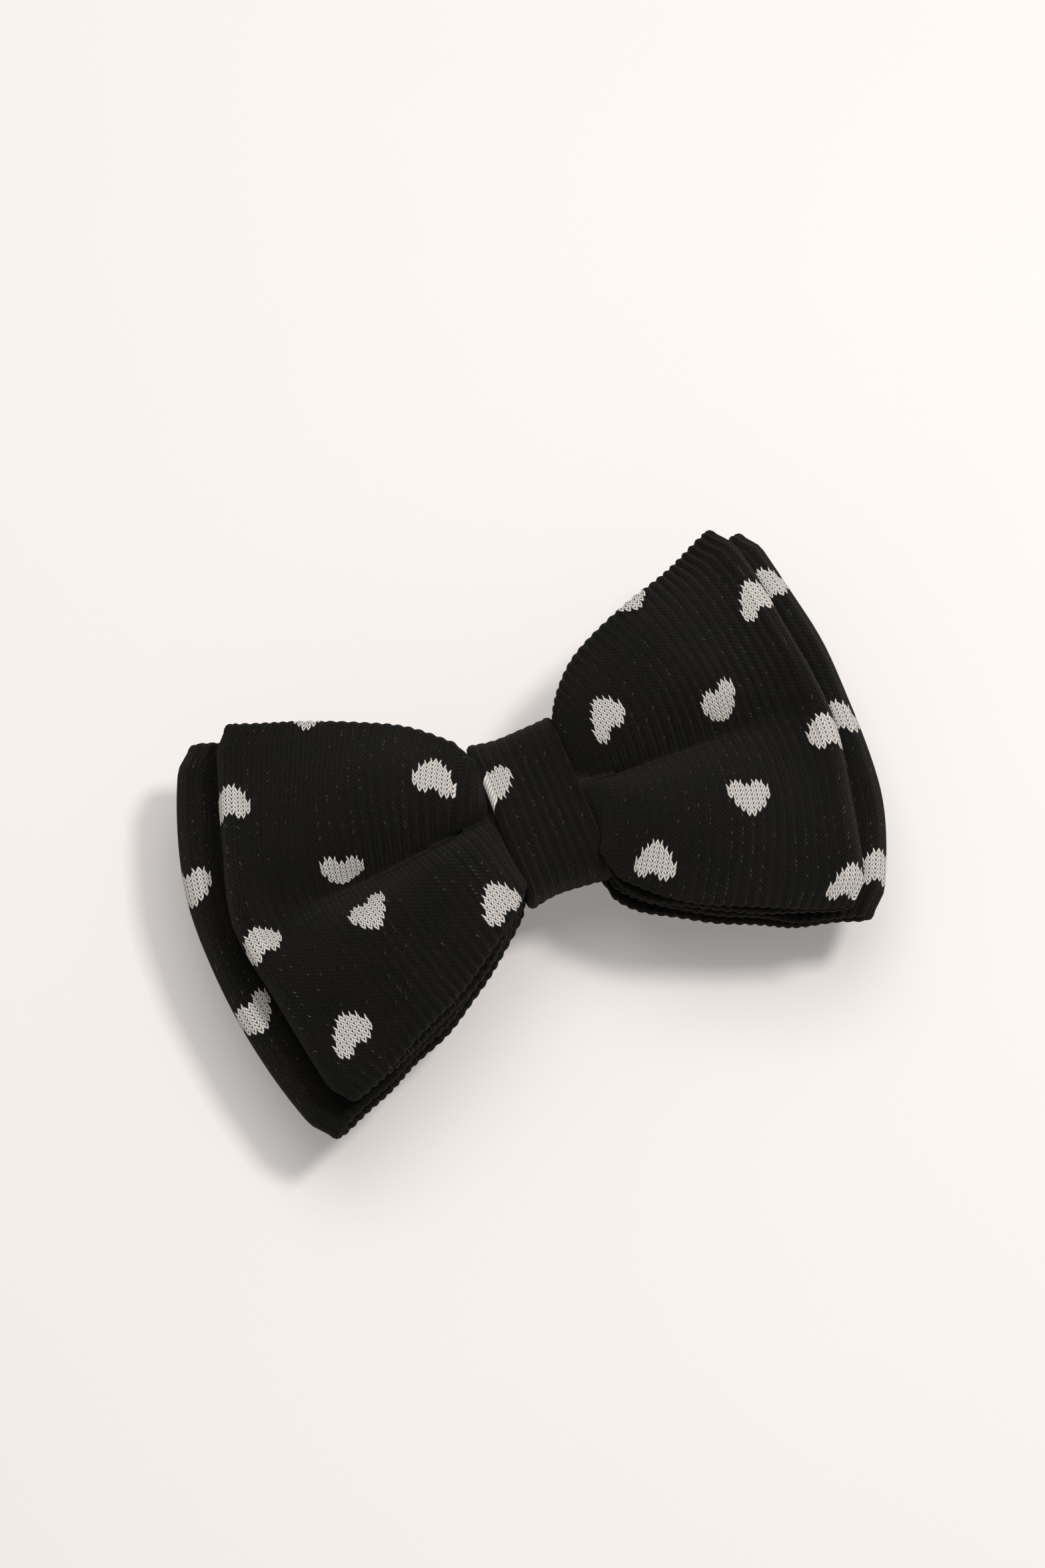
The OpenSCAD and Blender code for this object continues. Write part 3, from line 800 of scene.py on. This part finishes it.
def felt_material():
    g = Graph("charcoal_felt")
    where = g.node("ShaderNodeTexCoord").outputs["Object"]
    matted = g.noise(where, 700.0, 6.0, 0.72)
    broad = g.noise(where, 120.0, 3.0)
    fibres = g.noise(where, 3200.0, 5.0, 0.8)
    colour = g.mix(g.ramp(matted, 0.3, 0.72), (0.0075, 0.0075, 0.0085, 1), (0.03, 0.03, 0.032, 1))
    colour = g.mix(g.math("MULTIPLY", g.ramp(fibres, 0.62, 0.8), 0.5), colour, (0.075, 0.073, 0.07, 1))
    colour = g.mix(g.math("MULTIPLY", g.ramp(broad, 0.4, 0.7), 0.35), colour, (0.012, 0.011, 0.011, 1))
    g.set(Base_Color=colour, Roughness=g.ramp(matted, 0.2, 0.8, 0.86, 1.0), Sheen_Weight=0.18)
    g.bump(g.math("ADD", matted, g.math("MULTIPLY", fibres, 0.5)), 0.22 * MM, 0.9)
    return g.material


def steel_material(name, bright, dull, rough, brushed):
    """Plated or bare spring steel: drawn grain along the clip, fine scratches, duller handled spots."""
    g = Graph(name)
    where = g.node("ShaderNodeTexCoord").outputs["Object"]
    x, y, z = g.split(where)
    grain = g.noise(g.join(g.math("MULTIPLY", x, 60.0), g.math("MULTIPLY", y, 4200.0),
                           g.math("MULTIPLY", z, 4200.0)), 1.0, 3.0, 0.6)
    clouds = g.noise(where, 210.0, 4.0, 0.6)
    pits = g.noise(where, 1500.0, 2.0, 0.5)
    worn = g.ramp(clouds, 0.45, 0.72)
    spot = g.math("MULTIPLY", g.ramp(pits, 0.7, 0.78), 0.35)
    colour = g.mix(worn, bright, dull)
    colour = g.mix(spot, colour, (0.16, 0.13, 0.1, 1))
    roughness = g.math("ADD", g.math("MULTIPLY", grain, brushed), g.math("MULTIPLY", worn, 0.12))
    g.set(Base_Color=colour, Metallic=1.0, Roughness=g.math("ADD", roughness, rough))
    g.bump(g.math("ADD", g.math("MULTIPLY", grain, 0.6), g.math("MULTIPLY", pits, 0.4)), 0.012 * MM, 0.7)
    return g.material


def paint(node, material):
    """Gives a steel node that stays on show its finish."""
    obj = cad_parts[node]
    obj.data.materials.clear()
    obj.data.materials.append(material)


# ---------------------------------------------------------------- camera and light
ELEVATION = math.radians(71)
HEADING = math.radians(21.9)      # the bow's length, turned in the picture
DISTANCE = 0.65
VIEW_HEIGHT = 0.282               # the picture's height at the bow
right = Vector((math.cos(HEADING), -math.sin(HEADING), 0))
away = Vector((math.sin(HEADING), math.cos(HEADING), 0))
knot = Vector((0, 0, BAND_FRONT * MM - 0.002))
aim = knot - right * 0.0033 + away * 0.0042

camera = bpy.data.objects.new("camera", bpy.data.cameras.new("camera"))
bpy.context.scene.collection.objects.link(camera)
camera.location = aim - away * DISTANCE * math.cos(ELEVATION) + Vector((0, 0, DISTANCE * math.sin(ELEVATION)))
camera.rotation_euler = (aim - camera.location).to_track_quat("-Z", "Y").to_euler()
camera.data.sensor_width = 36
camera.data.lens = 36 * DISTANCE / VIEW_HEIGHT
camera.data.clip_start = 0.02
bpy.context.scene.camera = camera


KEY_SIZE, KEY_WATTS = 0.16, 4.3     # the small lamp that throws the shadow, in metres and watts
FILL_SIZE, FILL_WATTS = 0.7, 3.6    # the broad lamp overhead
ROOM_LIGHT = 0.26
PAPER_GLOW = 0.18                   # stands in for the overexposed background


def area_light(name, place, size, watts, colour):
    light = bpy.data.lights.new(name, "AREA")
    light.size = size
    light.energy = watts
    light.color = colour
    obj = bpy.data.objects.new(name, light)
    bpy.context.scene.collection.objects.link(obj)
    obj.location = place
    obj.rotation_euler = (Vector((0, 0, 0.01)) - Vector(place)).to_track_quat("-Z", "Y").to_euler()
    return obj


def stage():
    """The paper under the bow, two lamps and the light of the room."""
    floor = new_object("floor", [(-2, -2, 0), (2, -2, 0), (2, 2, 0), (-2, 2, 0)], [(0, 1, 2, 3)], False)
    g = Graph("floor_paper")
    where = g.node("ShaderNodeTexCoord").outputs["Object"]
    tone = g.noise(where, 9.0, 3.0)
    g.set(Base_Color=g.mix(tone, (0.785, 0.75, 0.73, 1), (0.81, 0.775, 0.76, 1)), Roughness=0.75,
          Emission_Color=(1, 0.955, 0.92, 1), Emission_Strength=PAPER_GLOW)
    floor.data.materials.append(g.material)
    key_place = right * 0.38 + away * 0.12 + Vector((0, 0, 0.9))
    area_light("key", key_place, KEY_SIZE, KEY_WATTS, (1, 0.985, 0.965))
    fill_place = -right * 0.05 + away * 0.26 + Vector((0, 0, 0.95))
    area_light("fill", fill_place, FILL_SIZE, FILL_WATTS, (1, 0.99, 0.98))
    world = bpy.data.worlds.new("studio")
    world.use_nodes = True
    world.node_tree.nodes["Background"].inputs[0].default_value = (1, 0.99, 0.975, 1)
    world.node_tree.nodes["Background"].inputs[1].default_value = ROOM_LIGHT
    bpy.context.scene.world = world
    bpy.context.scene.view_settings.view_transform = "Standard"


# ---------------------------------------------------------------- build
stage()
KNIT = knit_material("heart_knit", BLACK_YARN, BLACKER_YARN, CREAM_YARN)
front = knit_loop("front_loop_knit", FRONT_SPEC, FRONT_HEARTS, REAR_HEARTS, KNIT)
back = knit_loop("back_loop_knit", BACK_SPEC, BACK_LOOP_HEARTS, REAR_HEARTS, KNIT)
band = band_cloth(KNIT)
for piece, node, flat in ((front, "front_loop", (0.076, 0.236)), (back, "back_loop", (0.079, 0.258)),
                          (band, "center_band", (0.0164, 0.086))):
    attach(piece, "bow")
    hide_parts(node)

THREAD_FINISH, FELT_FINISH = thread_material(), felt_material()
felt = felt_strip(FELT_FINISH)
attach(felt, "bow")
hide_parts("felt_backing")

threads = seam_threads(THREAD_FINISH)
threads.append((gather_turns(THREAD_FINISH), "gather_thread"))
threads += [clip_lashing(side, THREAD_FINISH) for side in (-1, 1)]
for piece, node in threads:
    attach(piece, "bow")
    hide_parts(node)

NICKEL = steel_material("nickel_plate", (0.66, 0.63, 0.59, 1), (0.50, 0.475, 0.44, 1), 0.16, 0.16)
SPRING = steel_material("spring_steel", (0.47, 0.47, 0.48, 1), (0.33, 0.33, 0.34, 1), 0.22, 0.22)
for node in ("barrette_base", "clasp_arm", "release_prong_front", "release_prong_back"):
    paint(node, NICKEL)
for node in ("tension_leaf", "hinge_pin"):
    paint(node, SPRING)
